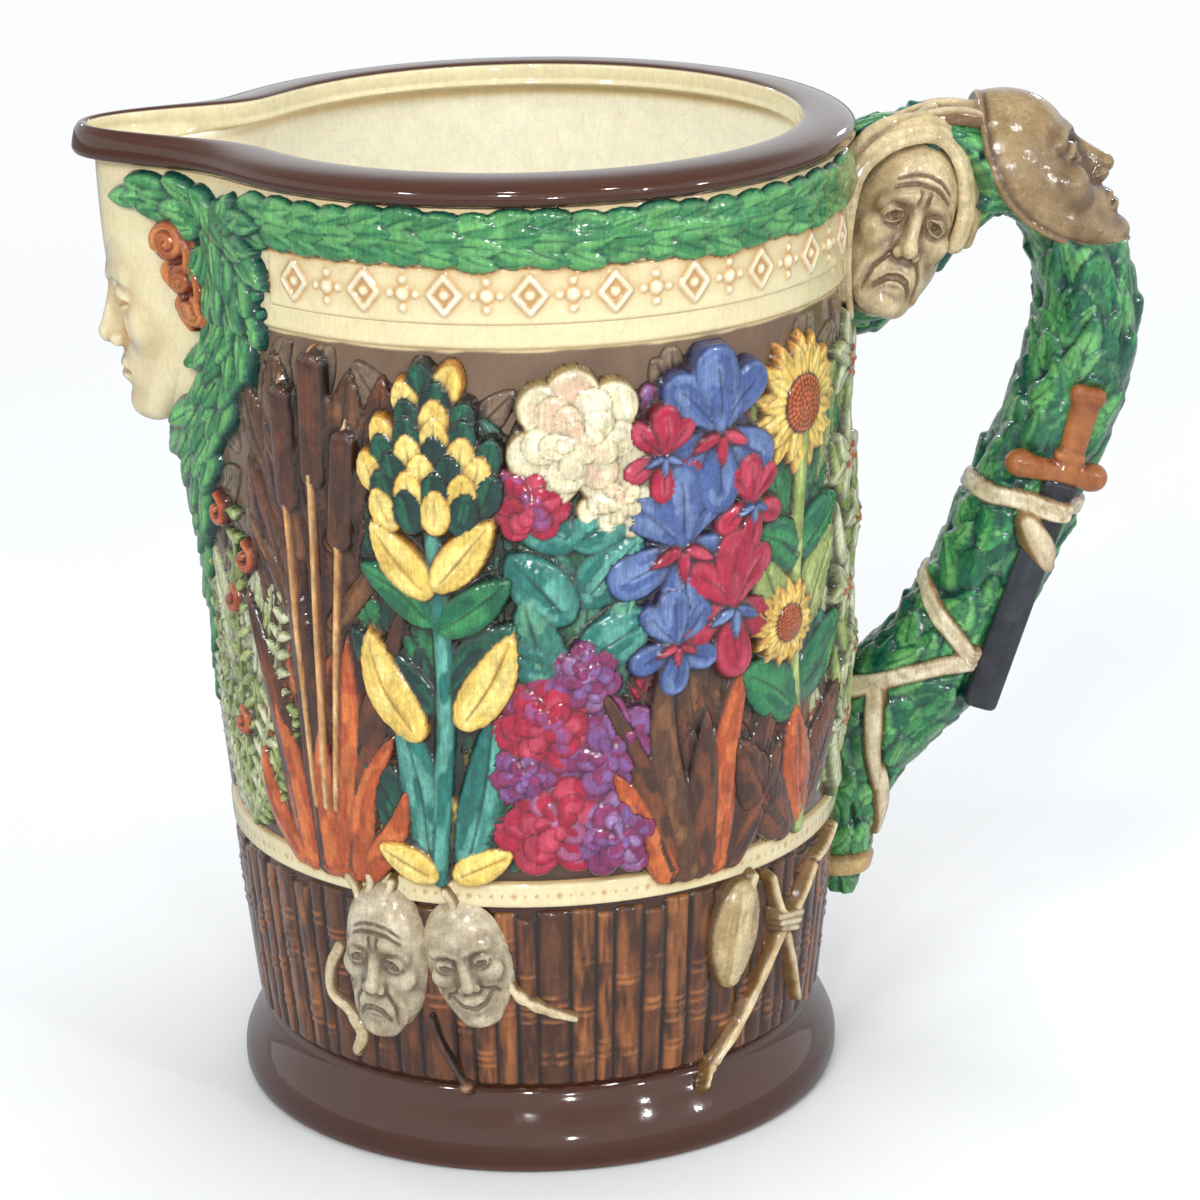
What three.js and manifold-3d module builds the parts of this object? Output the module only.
// A tall loving jug in glazed earthenware, modelled as the pieces that a potter would cast and lute together.
// Millimetres, +Z up. A turn is an angle in degrees about the jug's axis: 0 at the spout (-X), 90 at the
// front (-Y) and 180 at the handle (+X). A lift is a distance out from the skin of the body.
import * as THREE from 'three';
import { mergeVertices } from 'three/addons/utils/BufferGeometryUtils.js';
import Module from 'manifold-3d';

const wasm = await Module();
wasm.setup();

// Driving sizes
const RIM_HEIGHT = 273;
const RIM_OUTER = 90.5;
const RIM_INNER = 75.7;
const RIM_DEPTH = 8.5;
const SPOUT_REACH = 120;
const SPOUT_RISE = 1.8;
const SPOUT_LIP = 4.6;
const SPOUT_SPREAD = 13.5;
const SPOUT_BULGE = 26;
const SPOUT_CENTRE = 199;
const SPOUT_SLOPE = 15;
const FOOT_HEIGHT = 23;
const FOOT_RADIUS = 85;
const FOOT_WELL = 66;
const FLOOR_TOP = 14;
const FLOOR_UNDERSIDE = 6;
const FLOOR_MIDDLE = 30;
const SEAT_RADIUS = 72;
const JOINT_GAP = 0.35;
const RIBBON_LOW = 77.5;
const RIBBON_HIGH = 85;
const FRIEZE_LOW = 87;
const BAND_LOW = 234;
const BAND_HIGH = 248.5;
const GARLAND_LOW = 250.5;
const GARLAND_HIGH = 263.5;
const HANDLE_TURN = 180;

// The plain wall's radius at each height: [height, radius].
const WALL = [[0, 76], [23, 78.4], [40, 80.2], [60, 82.3], [80, 84], [110, 85.8], [150, 87], [190, 87.3],
  [230, 87.3], [231, 88.3], [273, 88.3]];
// The hollow inside: [height, radius].
const HOLLOW = [[14, 60], [18, 66.5], [26, 70.5], [50, 74.8], [100, 79], [150, 80.5], [200, 81],
  [280, 81.3]];

const clay = (hex, roughness = 0.16) => new THREE.MeshStandardMaterial({ color: hex, roughness, metalness: 0 });
const BROWN = 0x583220;
const CREAM = 0xf3ecc8;
const LEAF = 0x2c8f4f;
const BISCUIT = 0xb9aa87;
const BOOK = 0x8a4c28;
const RUST = 0xb95523;
const SLATE = 0x2d3036;
const TAN = 0xc9a873;

const rad = THREE.MathUtils.degToRad;

function along(table, at) {
  if (at <= table[0][0]) return table[0][1];
  for (let i = 1; i < table.length; i += 1) {
    const [x0, y0] = table[i - 1];
    const [x1, y1] = table[i];
    if (at <= x1) return y0 + (y1 - y0) * (at - x0) / (x1 - x0);
  }
  return table[table.length - 1][1];
}

// How much of the spout is felt at a turn: 1 on its middle line, fading to nothing round the side.
function spoutShare(turn, spread = SPOUT_SPREAD) {
  const t = ((turn + 180) % 360 + 360) % 360 - 180;
  return Math.exp(-((t / spread) ** 2));
}

function spoutBulge(z, height = SPOUT_BULGE, centre = SPOUT_CENTRE) {
  return height / (1 + Math.exp((centre - z) / SPOUT_SLOPE));
}

function bodyRadius(turn, z) {
  return along(WALL, z) + spoutBulge(z) * spoutShare(turn);
}

function hollowRadius(turn, z) {
  const bulge = spoutBulge(z, SPOUT_BULGE + 1, SPOUT_CENTRE + 13);
  return along(HOLLOW, z) + bulge * spoutShare(turn, SPOUT_SPREAD - 1);
}

// The foot's flare: [height, radius], from the ground up to the waist.
const FLARE = [[0, 82.4], [1.2, 84.2], [5, FOOT_RADIUS], [9, 84.6], [13.5, 82.6], [18, 80],
  [FOOT_HEIGHT, 78.6]];

function skinRadius(turn, z) {
  return z < FOOT_HEIGHT ? along(FLARE, z) : bodyRadius(turn, z);
}

function polar(turn, radius, z) {
  const a = rad(turn);
  return new THREE.Vector3(-radius * Math.cos(a), -radius * Math.sin(a), z);
}

function onSkin(turn, z, lift) {
  return polar(turn, skinRadius(turn, z) + lift, z);
}

// Joins loops of equal count into one closed skin, with a fan to the middle of each end loop.
function loft(loops, ring = false) {
  const count = loops[0].length;
  const points = loops.flat();
  const faces = [];
  const last = ring ? loops.length : loops.length - 1;
  for (let i = 0; i < last; i += 1) {
    const a = i * count;
    const b = ((i + 1) % loops.length) * count;
    for (let j = 0; j < count; j += 1) {
      const k = (j + 1) % count;
      faces.push(a + j, a + k, b + k, a + j, b + k, b + j);
    }
  }
  if (!ring) {
    const ends = [[loops[0], 0, false], [loops[loops.length - 1], last * count, true]];
    for (const [loop, start, forward] of ends) {
      const middle = loop.reduce((sum, p) => sum.add(p), new THREE.Vector3()).divideScalar(count);
      const m = points.push(middle) - 1;
      for (let j = 0; j < count; j += 1) {
        const k = (j + 1) % count;
        if (forward) faces.push(start + j, start + k, m);
        else faces.push(start + k, start + j, m);
      }
    }
  }
  let volume = 0;
  for (let f = 0; f < faces.length; f += 3) {
    volume += points[faces[f]].dot(points[faces[f + 1]].clone().cross(points[faces[f + 2]]));
  }
  if (volume < 0) faces.reverse();
  const geometry = new THREE.BufferGeometry().setFromPoints(points);
  geometry.setIndex(faces);
  geometry.computeVertexNormals();
  return geometry;
}

function solidOf(geometry) {
  let plain = geometry.clone();
  plain.deleteAttribute('normal');
  plain.deleteAttribute('uv');
  plain = mergeVertices(plain, 1e-4);
  const vertProperties = new Float32Array(plain.attributes.position.array);
  const triVerts = new Uint32Array(plain.index.array);
  return new wasm.Manifold(new wasm.Mesh({ numProp: 3, vertProperties, triVerts }));
}

// The largest body of a cut, as a geometry.
function geometryOf(solid) {
  const bodies = solid.decompose();
  const largest = bodies.reduce((a, b) => (b.volume() > a.volume() ? b : a));
  const mesh = largest.getMesh();
  const geometry = new THREE.BufferGeometry();
  geometry.setAttribute('position', new THREE.BufferAttribute(new Float32Array(mesh.vertProperties), 3));
  geometry.setIndex(Array.from(mesh.triVerts));
  geometry.computeVertexNormals();
  return geometry;
}

const jug = new THREE.Group();

function add(name, geometry, colour, roughness) {
  const mesh = new THREE.Mesh(geometry, clay(colour, roughness));
  mesh.name = name;
  jug.add(mesh);
  return mesh;
}

// Turns all the way round, closer together at the spout.
const TURNS = [];
for (let turn = -30; turn < 30; turn += 3.75) TURNS.push(turn);
for (let turn = 30; turn < 330; turn += 6.25) TURNS.push(turn);

const circle = (radiusAt, heightAt) => TURNS.map((t) => polar(t, radiusAt(t), heightAt(t)));

// Body
const SHOULDER = FOOT_HEIGHT + JOINT_GAP;
const NECK_TOP = RIM_HEIGHT - RIM_DEPTH - JOINT_GAP;
const outerHeights = [SHOULDER, 60, 110, 150, 170, 185, 200, 215, 230, 231, 248, NECK_TOP];
const innerHeights = [NECK_TOP, 235, 215, 195, 175, 100, 50, 26, 18, FLOOR_TOP];
const bodyLoops = [
  circle(() => FLOOR_MIDDLE, () => FLOOR_UNDERSIDE),
  circle(() => SEAT_RADIUS, () => FLOOR_UNDERSIDE),
  circle(() => SEAT_RADIUS, () => SHOULDER),
  ...outerHeights.map((z) => circle((t) => bodyRadius(t, z), () => z)),
  ...innerHeights.map((z) => circle((t) => hollowRadius(t, z), () => z)),
  circle(() => FLOOR_MIDDLE, () => FLOOR_TOP),
];
add('body_shell', loft(bodyLoops), CREAM);

// Rim: a rolled brown lip that thins and runs out along the spout.
const rimOuter = (t) => RIM_OUTER + (SPOUT_REACH - RIM_OUTER) * spoutShare(t);
const rimInner = (t) => RIM_INNER + (SPOUT_REACH - SPOUT_LIP - RIM_INNER) * spoutShare(t, SPOUT_SPREAD + 0.5);
const rimTop = (t) => RIM_HEIGHT + SPOUT_RISE * spoutShare(t, SPOUT_SPREAD * 1.5);
const rimFoot = RIM_HEIGHT - RIM_DEPTH;
const throat = (t) => hollowRadius(t, rimFoot);
const ROLL_EDGE = 0.9;
const ROLL_BELLY = 4.2;
const ROLL_INNER = 3;
const rimLoops = TURNS.map((t) => {
  const out = rimOuter(t);
  const inn = rimInner(t);
  const top = rimTop(t);
  const low = rimFoot;
  return [
    polar(t, Math.min(bodyRadius(t, NECK_TOP) - 0.8, out - 2), low),
    polar(t, out - ROLL_EDGE * 1.5, low + ROLL_EDGE),
    polar(t, out, low + ROLL_BELLY),
    polar(t, out - ROLL_EDGE, top - ROLL_EDGE / 2),
    polar(t, (out + inn) / 2 + 1, top),
    polar(t, inn + ROLL_EDGE, top - ROLL_EDGE / 2),
    polar(t, inn, top - ROLL_INNER),
    polar(t, Math.min(inn + 0.6, throat(t) + 1.5), low),
  ];
});
add('rim_roll', loft(rimLoops, true), BROWN);

// Foot: a flared ring that the body sits in, with a hollow well under it.
const FOOT_SIDES = 60;
const GROUND_INNER = 74;
const GROUND_OUTER = FLARE[0][1] - 0.6;
const WELL_CHAMFER = 3;
const seat = SEAT_RADIUS + JOINT_GAP;
const ledge = FLOOR_UNDERSIDE - JOINT_GAP;
const footProfile = [
  [WELL_CHAMFER, FOOT_WELL],
  [0, GROUND_INNER],
  [0, GROUND_OUTER],
  ...FLARE.slice(1),
  [FOOT_HEIGHT, seat],
  [ledge, seat],
  [ledge, FOOT_WELL],
];
const footLoops = Array.from({ length: FOOT_SIDES }, (_, i) => (
  footProfile.map(([z, r]) => polar(i * 360 / FOOT_SIDES, r, z))));
add('foot_ring', loft(footLoops, true), BROWN);

// A skin-hugging strip. Each station is [turn, height, half width in mm]; the strip is raised to `crest` along
// its middle and to `edge` at its sides, and its back follows the body at `gap`.
const ARC = rad(1) * 88;

function skinStrip(stations, { edge = 0.7, crest = 2, across = 4, gap = 0.4, swell = null } = {}) {
  return loft(stations.map(([turn, z, half], i) => {
    const [t0, z0] = stations[Math.max(i - 1, 0)];
    const [t1, z1] = stations[Math.min(i + 1, stations.length - 1)];
    const run = new THREE.Vector2((t1 - t0) * ARC, z1 - z0).normalize();
    const side = new THREE.Vector2(-run.y, run.x);
    const at = (s, lift) => onSkin(turn + side.x * half * s / ARC, z + side.y * half * s, lift);
    const high = swell ? swell(i) : crest;
    const back = [];
    const front = [];
    for (let k = 0; k < across; k += 1) {
      const s = 1 - 2 * k / (across - 1);
      back.push(at(s, gap));
      front.push(at(-s, gap + edge + (high - edge) * (1 - s * s)));
    }
    return [...back, ...front];
  }));
}

// Stations evenly spaced along a smooth curve through a few chosen ones.
function smoothStations(chosen, count) {
  const curve = new THREE.CatmullRomCurve3(chosen.map(([t, z, h]) => new THREE.Vector3(t * ARC, z, h)));
  return curve.getSpacedPoints(count - 1).map((p) => [p.x / ARC, p.y, p.z]);
}

function roundStations(from, to, step, low, high) {
  const count = Math.round((to - from) / step);
  const middle = (low + high) / 2;
  const half = (high - low) / 2;
  return Array.from({ length: count + 1 }, (_, i) => [from + (to - from) * i / count, middle, half]);
}

const mirrored = (stations) => stations.map(([t, z, h]) => [-t, z, h]);

// A solid of the body's own outline, grown by `gap`, that pieces on the spout and handle are cut back from.
function bodyEnvelope(gap) {
  const heights = [5, ...outerHeights, RIM_HEIGHT + 3];
  return solidOf(loft(heights.map((z) => circle((t) => bodyRadius(t, z) + gap, () => z))));
}
const envelope = bodyEnvelope(JOINT_GAP);

// A face or mask as a dome over an egg-shaped outline, in its own (across, up, forward) frame. The brow, the
// nose, the sockets, the lips and the chin are soft swellings and hollows laid out on equal thirds.
const FACE_POINTS = 20;
const FACE_RINGS = [1, 0.86, 0.62, 0.38, 0.16];

function faceForward(u, v, depth, halfWidth, halfHeight) {
  const x = u / halfWidth;
  const y = v / halfHeight;
  const spot = (cx, cy, rx, ry) => Math.exp(-(((x - cx) / rx) ** 2) - (((y - cy) / ry) ** 2));
  const dome = Math.sqrt(Math.max(0, 1 - x * x * 0.85 - y * y * 0.4));
  const nose = 0.24 * spot(0, -0.12, 0.2, 0.2) + 0.14 * spot(0, 0.12, 0.14, 0.26);
  const brow = 0.08 * spot(-0.36, 0.3, 0.3, 0.1) + 0.08 * spot(0.36, 0.3, 0.3, 0.1);
  const sockets = 0.16 * spot(-0.38, 0.12, 0.2, 0.11) + 0.16 * spot(0.38, 0.12, 0.2, 0.11);
  const lips = 0.12 * spot(0, -0.44, 0.26, 0.07);
  const chin = 0.16 * spot(0, -0.78, 0.3, 0.14);
  return depth * (dome + nose + brow - sockets + lips + chin);
}

function faceLoops(halfWidth, halfHeight, depth, place, base) {
  const ring = (t, forward) => Array.from({ length: FACE_POINTS }, (_, i) => {
    const a = 2 * Math.PI * i / FACE_POINTS;
    const narrow = 1 - 0.2 * Math.max(0, -Math.sin(a)) ** 2;
    const u = t * halfWidth * narrow * Math.cos(a);
    const v = t * halfHeight * Math.sin(a);
    return place(u, v, forward(u, v));
  });
  const rim = (u, v) => Math.max(base + 0.8, faceForward(u, v, depth, halfWidth, halfHeight) * 0.9);
  return [
    ...[0.3, 0.65, 1].map((t) => ring(t, () => base)),
    ...FACE_RINGS.map((t) => ring(t, t === 1 ? rim : (u, v) => faceForward(u, v, depth, halfWidth, halfHeight))),
  ];
}

// Places a face in space by its middle, the way it looks, and its lean to one side.
function placed(middle, forward, lean = 0) {
  const n = forward.clone().normalize();
  const side = new THREE.Vector3(0, 0, 1).cross(n).normalize();
  const up = n.clone().cross(side);
  const turn = rad(lean);
  const u = side.clone().multiplyScalar(Math.cos(turn)).addScaledVector(up, Math.sin(turn));
  const v = up.clone().multiplyScalar(Math.cos(turn)).addScaledVector(side, -Math.sin(turn));
  return (a, b, c) => middle.clone().addScaledVector(u, a).addScaledVector(v, b).addScaledVector(n, c);
}

// A face laid over the books at a turn and height, leaning by an angle.
const OVER_BOOKS = 2.6;
function wallFace(turn, z, halfWidth, halfHeight, depth, lean) {
  const c = Math.cos(rad(lean));
  const s = Math.sin(rad(lean));
  const place = (u, v, n) => onSkin(turn + (u * c - v * s) / ARC, z + u * s + v * c, n);
  return loft(faceLoops(halfWidth, halfHeight, depth, place, OVER_BOOKS));
}

// Spout mask, its curls and the laurel wreath round it
const MASK_MIDDLE = new THREE.Vector3(-95.5, 0, 226);
const MASK_FORWARD = new THREE.Vector3(-1, 0, -0.11);
const MASK_HALF_WIDTH = 22;
const MASK_HALF_HEIGHT = 32;
const MASK_DEPTH = 18.5;

function spoutMask(grow) {
  const place = placed(MASK_MIDDLE, MASK_FORWARD);
  const loops = faceLoops(MASK_HALF_WIDTH + grow, MASK_HALF_HEIGHT + grow, MASK_DEPTH + grow, place, -12);
  return solidOf(loft(loops));
}
add('spout_mask', geometryOf(spoutMask(0).subtract(envelope)), CREAM);

// Lines on the skin, each a run of [turn, height, half width].
const CURL_LINE = [
  [13.5, 252, 3.2], [18.5, 247, 3.8], [15.5, 240, 3.2], [19, 233, 3.8], [16, 226, 3], [18, 222, 2]];
const WREATH_LINE = [
  [3, 258, 3.6], [9, 257.5, 4.6], [15, 257.5, 5], [22, 256, 7.5], [28.5, 249, 10], [31, 240, 12],
  [29.5, 227, 12.5], [26.5, 215, 11.5], [21.5, 204, 11.5], [15.5, 193.5, 12], [10.2, 182, 12.5],
  [7.6, 168, 9.5], [5.8, 150, 7], [4.2, 134, 4.5], [3, 121, 2.2]];
const SUNK = -0.6;
const maskRoom = spoutMask(JOINT_GAP);
for (const [side, flip] of [['front', (s) => s], ['back', mirrored]]) {
  const curlStations = flip(smoothStations(CURL_LINE, 12));
  const curl = solidOf(skinStrip(curlStations, { edge: 1.6, crest: 4.4, gap: SUNK }));
  const widened = curlStations.map(([t, z, h]) => [t, z, h + 0.5]);
  const curlRoom = solidOf(skinStrip(widened, { edge: 3, crest: 6, gap: SUNK }));
  const branch = flip(smoothStations(WREATH_LINE, 22));
  const wreath = solidOf(skinStrip(branch, { edge: 1.4, crest: 3.8, gap: SUNK }));
  add(`mask_curls_${side}`, geometryOf(curl.subtract(envelope).subtract(maskRoom)), RUST);
  add(`wreath_${side}`, geometryOf(wreath.subtract(envelope).subtract(maskRoom).subtract(curlRoom)), LEAF);
}

// Garland under the rim, the raised band below it, and the ribbon above the books
const GARLAND_START = 36.5;
const HANDLE_CLEAR = 13.5;
const SPRAY = 9;
const garlandMiddle = (GARLAND_LOW + GARLAND_HIGH) / 2;
const garlandHalf = (GARLAND_HIGH - GARLAND_LOW) / 2;
const pinch = (t) => 0.35 * (1 + Math.cos(2 * Math.PI * t / SPRAY));
const scallop = ([t], i) => [t, garlandMiddle + 0.5 * Math.sin(i), garlandHalf - pinch(t)];
const BAND_START = 41;
for (const [side, sign] of [['front', 1], ['back', -1]]) {
  const to = HANDLE_TURN - HANDLE_CLEAR;
  const flip = (stations) => (sign > 0 ? stations : mirrored(stations));
  const garland = roundStations(GARLAND_START, to, 4.5, GARLAND_LOW, GARLAND_HIGH).map(scallop);
  add(`laurel_garland_${side}`, skinStrip(flip(garland), { edge: 0.9, crest: 2.4, across: 3 }), LEAF);
  const band = roundStations(BAND_START, to, 6, BAND_LOW, BAND_HIGH);
  add(`neck_band_${side}`, skinStrip(flip(band), { edge: 0.6, crest: 0.6, across: 2 }), CREAM);
}
const TAIL_CLEAR = 10.5;
add('ribbon_band', skinStrip(roundStations(TAIL_CLEAR - 180, 180 - TAIL_CLEAR, 6, RIBBON_LOW, RIBBON_HIGH),
  { edge: 1.2, crest: 1.2, across: 2 }), CREAM);

// Books: a ring of upright spines, in a repeating run of thick and thin ones
const BOOK_LOW = 24;
const BOOK_HIGH = 76.6;
const BOOK_WIDTHS = [7.6, 10.4, 5.2, 6.8, 6.2, 5.6, 9.2, 7.2, 4.8, 8.4, 6.4, 7.8];
const BOOK_GAP = 1.1;
const BOOK_SWELL = 1.7;
const BOOK_VALLEY = 0.4;
const bookStart = TAIL_CLEAR - 3 - 180;
const bookSpan = -2 * bookStart;
const bookStations = [];
const bookSwell = [];
const bookRound = BOOK_WIDTHS.reduce((a, b) => a + b, 0);
const bookRuns = Math.round(bookSpan * ARC * 0.94 / bookRound);
const bookScale = bookSpan / (bookRuns * bookRound);
let bookTurn = bookStart;
for (let i = 0; i < bookRuns * BOOK_WIDTHS.length; i += 1) {
  const wide = BOOK_WIDTHS[i % BOOK_WIDTHS.length] * bookScale;
  const gapTurn = BOOK_GAP * bookScale;
  for (const [offset, swell] of [[0, BOOK_VALLEY], [gapTurn, BOOK_SWELL], [wide - gapTurn, BOOK_SWELL]]) {
    bookStations.push(bookTurn + offset);
    bookSwell.push(swell);
  }
  bookTurn += wide;
}
function bookCourse() {
  return loft(bookStations.map((t, i) => {
    const back = JOINT_GAP;
    const front = JOINT_GAP + bookSwell[i];
    return [[BOOK_LOW, back], [BOOK_HIGH, back], [BOOK_HIGH, front], [BOOK_LOW, front]].map(([z, lift]) => (
      onSkin(t, z, lift)));
  }));
}

// Frieze: standing plants in relief, each a tall clump with a heavy head. A kind is the clump's half widths in mm
// from the ground line up, and the colour of its glaze.
const KINDS = {
  bulrush: { halves: [9, 12, 13, 12, 11, 10, 11, 12, 10, 5], colour: 0x5a3320 },
  sunflower: { halves: [8, 12, 14, 13, 10, 9, 13, 16, 15, 8], colour: 0xd9b44a },
  rose: { halves: [12, 16, 17, 15, 12, 13, 15, 14, 10, 5], colour: 0xa01c3c },
  iris: { halves: [10, 14, 15, 14, 11, 12, 15, 16, 12, 6], colour: 0x4a5f96 },
  artichoke: { halves: [9, 13, 15, 14, 12, 14, 16, 13, 9, 4], colour: 0x2a6b5c },
  lily: { halves: [7, 10, 11, 9, 8, 9, 12, 13, 10, 5], colour: 0xcdd2af },
  fern: { halves: [6, 9, 11, 11, 10, 9, 8, 6, 4, 2], colour: LEAF },
};
const CLUMP_TOP = 226;
const FERN_TOP = 184;
const CLUMPS = [['fern', 24, FERN_TOP], ['bulrush', 47], ['artichoke', 70], ['rose', 93], ['iris', 116],
  ['sunflower', 139], ['lily', 160], ['rose', 203], ['bulrush', 226], ['sunflower', 249], ['iris', 272],
  ['artichoke', 295], ['lily', 316], ['fern', 337, FERN_TOP]];
const CLUMP_RISE = 3.4;
CLUMPS.forEach(([kind, turn, top = CLUMP_TOP], index) => {
  const { halves, colour } = KINDS[kind];
  const lean = index % 2 ? 1.2 : -1.2;
  const stations = halves.map((half, i) => {
    const up = i / (halves.length - 1);
    return [turn + lean * Math.sin(Math.PI * up), FRIEZE_LOW + 1 + (top - FRIEZE_LOW - 1) * up, half];
  });
  const side = turn < HANDLE_TURN ? 'front' : 'back';
  add(`frieze_${kind}_${side}_${index + 1}`, skinStrip(stations, { edge: 0.9, crest: CLUMP_RISE }), colour);
});
const FERN_HALVES = [[119, 4], [135, 9], [155, 11], [175, 10], [195, 7], [204, 2]];
const FERN_LINE = FERN_HALVES.map(([z, half]) => [HANDLE_TURN, z, half]);
add('frieze_fern_behind_handle', skinStrip(FERN_LINE, { edge: 0.7, crest: 2.2 }), LEAF);

// Theatre masks and their ribbons on the books
// Each mask is [turn, height, half width, half height, depth, lean].
const TRAGEDY = [56.5, 59, 13, 22.5, 8.5, -6];
const COMEDY = [73.5, 61, 11.5, 17.5, 7.5, 16];
const MASK_ROOM = 0.6;
const ROOM_DEPTH = 10;
const maskBed = ([turn, z, w, h, , lean]) => (
  solidOf(wallFace(turn, z, w + MASK_ROOM, h + MASK_ROOM, ROOM_DEPTH, lean)));
const tragedy = solidOf(wallFace(...TRAGEDY));
const tragedyRoom = maskBed(TRAGEDY);
const comedy = solidOf(wallFace(...COMEDY)).subtract(tragedyRoom);
const comedyRoom = maskBed(COMEDY);
add('tragedy_mask', geometryOf(tragedy), BISCUIT);
add('comedy_mask', geometryOf(comedy), BISCUIT);

const trim = (line, count, edge, crest) => (
  solidOf(skinStrip(smoothStations(line, count), { across: 3, gap: OVER_BOOKS, edge, crest })));
const trimRoom = (line, count, edge, crest) => (
  trim(line.map(([t, z, h]) => [t, z, h + 0.4]), count, edge + 1, crest + 1.5));
// Each trim is its line, how many stations it is drawn with, its edge and crest lifts, and its colour.
const TRIMS = {
  mask_ribbon_left: [
    [[46.5, 60, 1], [43.6, 53, 2], [43.2, 45, 1.8], [47.5, 41, 1.6], [49.5, 36, 1.8], [48, 29, 0.8]],
    12, 1.6, 2.8, BISCUIT],
  mask_ribbon_right: [
    [[80.5, 54.5, 1.4], [83.5, 50.5, 2], [87.5, 47.5, 1.9], [92, 45, 0.8]], 10, 1.6, 2.8, BISCUIT],
  mask_cord: [[[65.5, 43, 0.8], [67, 36, 0.9], [69, 29, 1], [71, 24.5, 1.6]], 8, 1.4, 2.6, BOOK],
  bladder: [
    [[127.4, 76.4, 1], [126.6, 72.5, 4.5], [125.4, 67, 7.8], [124.3, 60, 9], [123.6, 53.5, 6.8],
      [123.4, 49, 1.6]],
    9, 1.6, 5, BISCUIT],
  long_stick: [
    [[137.2, 57, 1.6], [131.5, 44, 1.7], [126, 32, 1.6], [121.5, 24.6, 1.5], [118.6, 17.5, 1]],
    12, 1.8, 3, TAN],
  short_stick: [[[139.5, 53.5, 1.3], [142.5, 44, 1.3], [146, 31, 0.8]], 8, 1.6, 2.6, TAN],
  stick_knot: [
    [[133.2, 73.5, 1], [135.4, 66, 1.4], [137.6, 60.6, 2.4], [141.5, 63, 1.5], [146.5, 70.5, 1.2]],
    12, 1.8, 3.2, TAN],
  twisted_cord: [[[158, 77, 1.2], [153.5, 73.6, 1.6], [149.4, 72.6, 1]], 8, 1.6, 2.8, TAN],
};
const placedTrims = [];
for (const [name, [line, count, edge, crest, colour]] of Object.entries(TRIMS)) {
  let piece = trim(line, count, edge, crest).subtract(tragedyRoom).subtract(comedyRoom);
  for (const other of placedTrims) piece = piece.subtract(other);
  add(name, geometryOf(piece), colour);
  placedTrims.push(trimRoom(line, count, edge, crest));
}
add('book_course', bookCourse(), BOOK);

// Handle: stations of [outer x, outer z, inner x, inner z, half width across], from the neck over the arch and
// down to the leaf tail on the wall.
const HANDLE = [
  [76, 261, 76, 216, 14], [92, 266.5, 92, 210, 16.5], [104, 269.5, 103, 217, 17.5],
  [116, 270.5, 114, 230, 17], [129, 266.5, 125, 240, 15], [143, 258.5, 133, 243, 14.5],
  [154, 248.5, 139, 236.5, 14.5], [163, 236, 142, 226, 15.5], [168.5, 217, 142.5, 214, 16.5],
  [167.5, 197, 140, 203, 17], [162.5, 180, 135.5, 189, 17], [156, 164, 130, 177, 16.5],
  [148, 146, 122, 160, 16], [139, 126, 114.5, 143, 15.5], [127, 104, 105.5, 127, 15],
  [113, 90, 92, 114, 14], [103, 79, 82, 100, 12], [97, 64, 80, 76, 9.5], [93.5, 52, 79, 58, 7],
  [91, 44, 80, 46, 3.4]];
const HANDLE_SIDES = 14;

function handleSweep(grow) {
  const loops = HANDLE.map(([ox, oz, ix, iz, half]) => {
    const middle = new THREE.Vector3((ox + ix) / 2, 0, (oz + iz) / 2);
    const depth = new THREE.Vector3((ox - ix) / 2, 0, (oz - iz) / 2);
    const deep = depth.length() + grow;
    depth.normalize();
    return Array.from({ length: HANDLE_SIDES }, (_, i) => {
      const a = 2 * Math.PI * i / HANDLE_SIDES;
      const across = new THREE.Vector3(0, (half + grow) * Math.sin(a), 0);
      return middle.clone().addScaledVector(depth, deep * Math.cos(a)).add(across);
    });
  });
  return solidOf(loft(loops));
}
const rimShoulder = solidOf(loft([262, 275].map((z) => circle((t) => rimOuter(t) + JOINT_GAP, () => z))));
const clearOfBody = (solid) => solid.subtract(envelope).subtract(rimShoulder);
const core = handleSweep(0);
const coreRoom = handleSweep(JOINT_GAP);

// Masks on the handle: a hooded one on the near side at the neck, and one lying along the top of the arch
const HOOD = {
  middle: new THREE.Vector3(105.5, -10, 241),
  forward: new THREE.Vector3(0.2, -1, 0.12),
  lean: -27,
  size: [17, 30, 16],
  base: -8,
};
const TOP = {
  middle: new THREE.Vector3(143, 0, 245),
  forward: new THREE.Vector3(0.62, 0, 0.78),
  lean: 0,
  size: [17.5, 25, 16.5],
  base: -2,
};
function handleMask({ middle, forward, lean, size, base }, grow) {
  const [halfWidth, halfHeight, depth] = size.map((length) => length + grow);
  return solidOf(loft(faceLoops(halfWidth, halfHeight, depth, placed(middle, forward, lean), base)));
}
const hood = clearOfBody(handleMask(HOOD, 0).subtract(coreRoom)).subtract(handleMask(TOP, JOINT_GAP));
add('handle_hooded_mask', geometryOf(hood), BISCUIT);
add('handle_top_mask', geometryOf(handleMask(TOP, 0).subtract(coreRoom)), BISCUIT);

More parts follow.
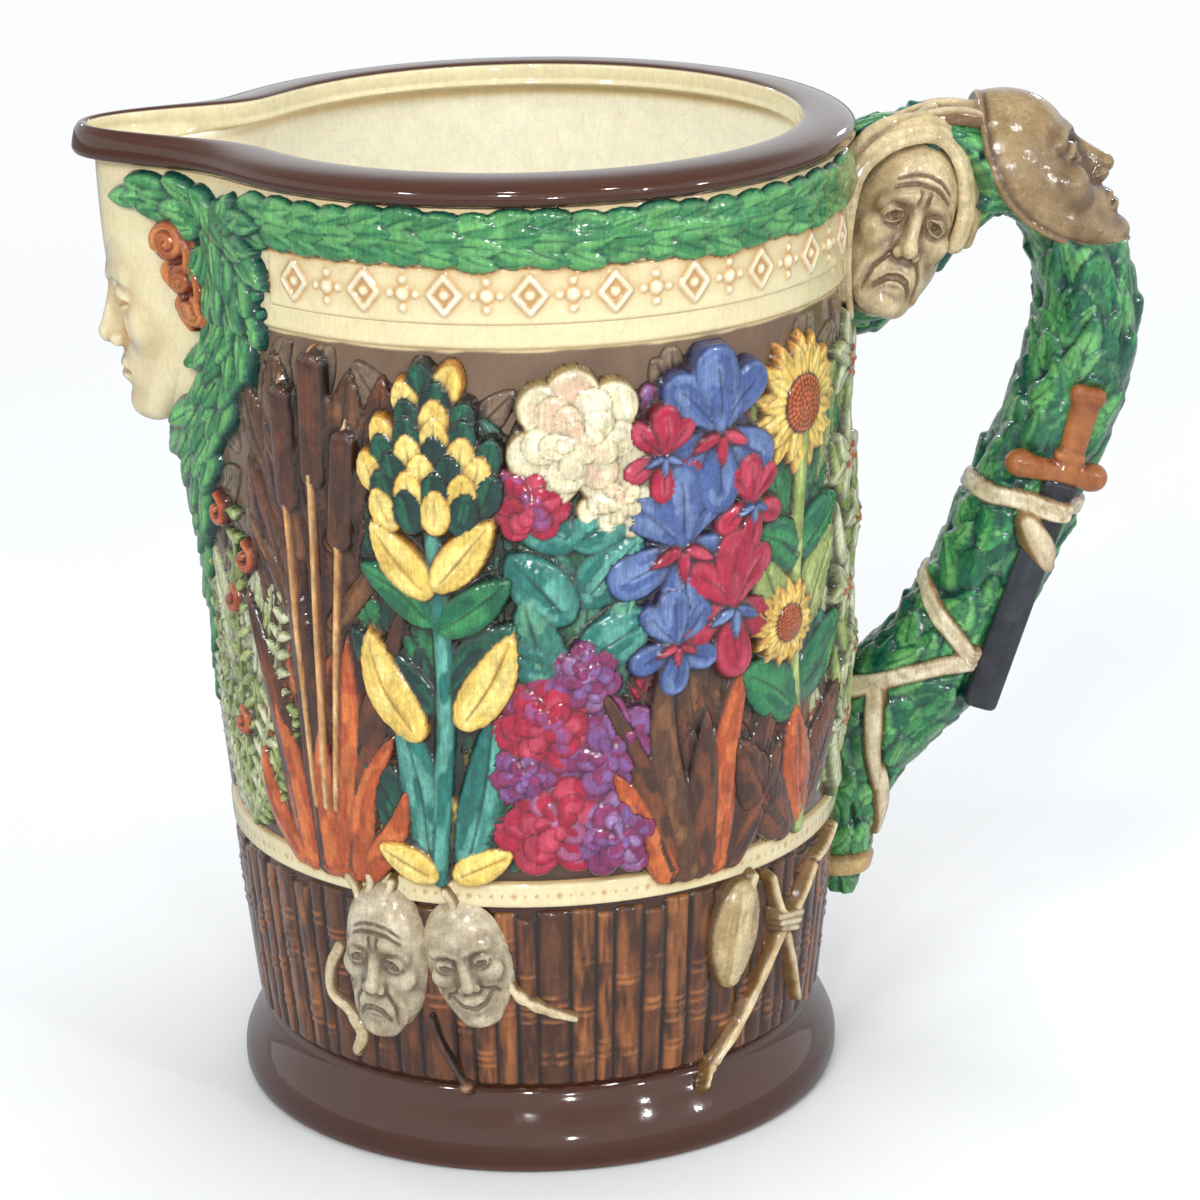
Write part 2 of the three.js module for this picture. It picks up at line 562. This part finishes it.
// Dagger on the near side: a rust-brown hilt with its crossguard, and a dark sheath
function bar(from, to, width, depth, grow = 0) {
  const length = from.distanceTo(to);
  const shape = new THREE.Shape();
  const w = width / 2 + grow;
  const d = depth / 2 + grow;
  const c = Math.min(w, d) * 0.45;
  shape.moveTo(-w + c, -d).lineTo(w - c, -d).lineTo(w, -d + c).lineTo(w, d - c);
  shape.lineTo(w - c, d).lineTo(-w + c, d).lineTo(-w, d - c).lineTo(-w, -d + c);
  const geometry = new THREE.ExtrudeGeometry(shape, { depth: length + 2 * grow, bevelEnabled: false, steps: 1 });
  geometry.translate(0, 0, -grow);
  const along3 = to.clone().sub(from).normalize();
  const out = new THREE.Vector3(0, -1, 0);
  const side = out.clone().cross(along3).normalize();
  const face = along3.clone().cross(side).normalize();
  geometry.applyMatrix4(new THREE.Matrix4().makeBasis(side, face, along3).setPosition(from));
  return solidOf(geometry);
}
const DAGGER_Y = -14.5;
const at = (x, z, y = DAGGER_Y) => new THREE.Vector3(x, y, z);
const GUARD = at(147, 171);
const GUARD_NEAR = at(134, 174);
const GUARD_FAR = at(159.5, 168);
const POMMEL = at(154, 195);
const SHEATH_TOP = at(146.4, 169);
const SHEATH_TIP = at(124.5, 103, -13);
// Each bar's width and depth.
const GRIP = [8.4, 9];
const CROSSGUARD = [6.6, 8.4];
const SHEATH = [9.6, 9];
const hilt = (grow) => bar(GUARD, POMMEL, ...GRIP, grow).add(bar(GUARD_NEAR, GUARD_FAR, ...CROSSGUARD, grow));
const sheath = (grow) => bar(SHEATH_TOP, SHEATH_TIP, ...SHEATH, grow);
add('dagger_hilt', geometryOf(hilt(0).subtract(coreRoom)), RUST);
add('dagger_sheath', geometryOf(sheath(0).subtract(coreRoom).subtract(hilt(JOINT_GAP))), SLATE);

// Ribbons wound round the handle: a slice of a slightly larger handle, hollowed by the handle itself
const SLAB = 90;
const RIBBON_LIFT = 1.9;
const SHEATH_LIFT = 1.6;
function winding(middle, normal, width, grow = 0) {
  const slab = new THREE.BoxGeometry(SLAB, SLAB, width + 2 * grow);
  const turn = new THREE.Quaternion().setFromUnitVectors(new THREE.Vector3(0, 0, 1), normal.clone().normalize());
  slab.applyQuaternion(turn).translate(middle.x, middle.y, middle.z);
  const over = handleSweep(RIBBON_LIFT + grow).add(bar(GUARD, SHEATH_TIP, ...SHEATH, SHEATH_LIFT + grow));
  return over.intersect(solidOf(slab));
}
const WINDINGS = [
  ['handle_ribbon_upper', at(140, 161.5, 0), new THREE.Vector3(0.22, 0.04, 1), 5.4],
  ['handle_ribbon_middle', at(119, 128, 0), new THREE.Vector3(0.86, -0.28, 0.66), 5],
  ['handle_ribbon_lower', at(104, 110, 0), new THREE.Vector3(-0.24, 0.2, 1), 5],
];
const wound = [];
for (const [name, middle, normal, width] of WINDINGS) {
  const band = winding(middle, normal, width).subtract(coreRoom);
  let piece = clearOfBody(band.subtract(sheath(JOINT_GAP)).subtract(hilt(JOINT_GAP)));
  for (const room of wound) piece = piece.subtract(room);
  wound.push(winding(middle, normal, width, JOINT_GAP));
  add(name, geometryOf(piece), TAN);
}

// Collar: a biscuit band round the tip of the leaf tail
const COLLAR_HIGH = 57;
const COLLAR_LOW = 51.5;
const COLLAR_LIFT = 1.6;
const slab = new THREE.BoxGeometry(SLAB, SLAB, COLLAR_HIGH - COLLAR_LOW);
slab.translate(100, 0, (COLLAR_LOW + COLLAR_HIGH) / 2);
const collar = clearOfBody(handleSweep(COLLAR_LIFT).intersect(solidOf(slab)).subtract(coreRoom));
add('handle_tail_collar', geometryOf(collar), TAN);
add('handle_core', geometryOf(clearOfBody(core)), LEAF);

// The origin is on the ground under the middle of the whole jug, spout and handle included.
const reach = new THREE.Box3().setFromObject(jug);
jug.position.x = -(reach.min.x + reach.max.x) / 2;
jug.position.y = -(reach.min.y + reach.max.y) / 2;
jug.updateMatrixWorld(true);

export default jug;
